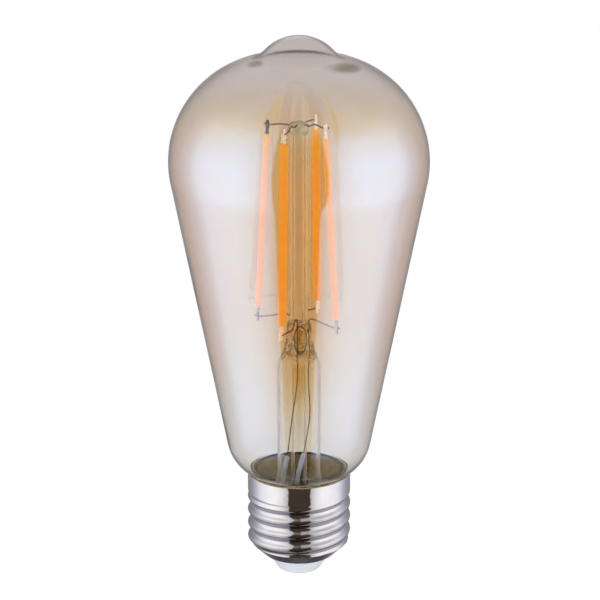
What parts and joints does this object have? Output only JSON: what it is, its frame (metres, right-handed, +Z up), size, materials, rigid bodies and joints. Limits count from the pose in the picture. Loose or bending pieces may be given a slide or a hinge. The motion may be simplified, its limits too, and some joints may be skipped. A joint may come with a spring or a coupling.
{
  "type": "led filament light bulb",
  "caption": "Pear-shaped amber glass filament lamp on an E27 screw cap, with the LED driver and its radio inside the cap.",
  "frame": {"origin": "centre of the centre contact's flat face, on the lamp's axis", "axes": "+Z up along the lamp's axis from the screw cap to the top of the glass; +X right and +Y away as seen in the front view"},
  "size_m": [0.064, 0.064, 0.1395],
  "materials": {
    "amber_glass": "polished amber glass",
    "clear_glass": "polished clear glass",
    "nickel_plate": "bright nickel plate",
    "white_insulator": "smooth white vitrified insulator",
    "contact_tin": "tinned contact",
    "phosphor": "orange phosphor silicone, unlit",
    "terminal_metal": "plated strip ends",
    "support_nickel": "oxidised nickel wire",
    "copper": "copper-coated wire",
    "white_sleeve": "white glass-fibre sleeve",
    "cement": "cured capping cement",
    "board_brown": "brown phenolic circuit board",
    "black_epoxy": "moulded black epoxy",
    "can_aluminium": "drawn aluminium can",
    "coil_tape": "taped winding",
    "resistor_body": "lacquered body",
    "ceramic": "unglazed ceramic",
    "tan_film": "polyimide film"
  },
  "bodies": {
    "root": {"glass_envelope": "amber_glass", "stem_tube": "clear_glass", "stem_press": "clear_glass", "exhaust_tube": "clear_glass", "support_column": "clear_glass", "column_button": "clear_glass", "led_filament_1": "phosphor", "top_terminal_1": "terminal_metal", "bottom_terminal_1": "terminal_metal", "top_wire_1": "support_nickel", "led_filament_2": "phosphor", "top_terminal_2": "terminal_metal", "bottom_terminal_2": "terminal_metal", "top_wire_2": "support_nickel", "led_filament_3": "phosphor", "top_terminal_3": "terminal_metal", "bottom_terminal_3": "terminal_metal", "top_wire_3": "support_nickel", "led_filament_4": "phosphor", "top_terminal_4": "terminal_metal", "bottom_terminal_4": "terminal_metal", "top_wire_4": "support_nickel", "anchor_wire_1": "support_nickel", "anchor_wire_2": "support_nickel", "lead_in_wire_left": "support_nickel", "lead_in_wire_right": "support_nickel", "lead_wire_left": "copper", "lead_wire_right": "copper", "lead_sleeve_left": "white_sleeve", "lead_sleeve_right": "white_sleeve", "cap_shell": "nickel_plate", "cap_insulator": "white_insulator", "centre_contact": "contact_tin", "cap_cement": "cement", "driver_insulation": "tan_film", "driver_board": "board_brown", "filter_capacitor": "can_aluminium", "power_inductor": "coil_tape", "bridge_rectifier": "black_epoxy", "driver_chip": "black_epoxy", "radio_board": "board_brown", "radio_shield": "can_aluminium", "chip_antenna": "ceramic", "fusible_resistor": "resistor_body", "resistor_lead": "copper", "contact_wire": "copper", "shell_wire": "copper"}
  },
  "joints": []
}
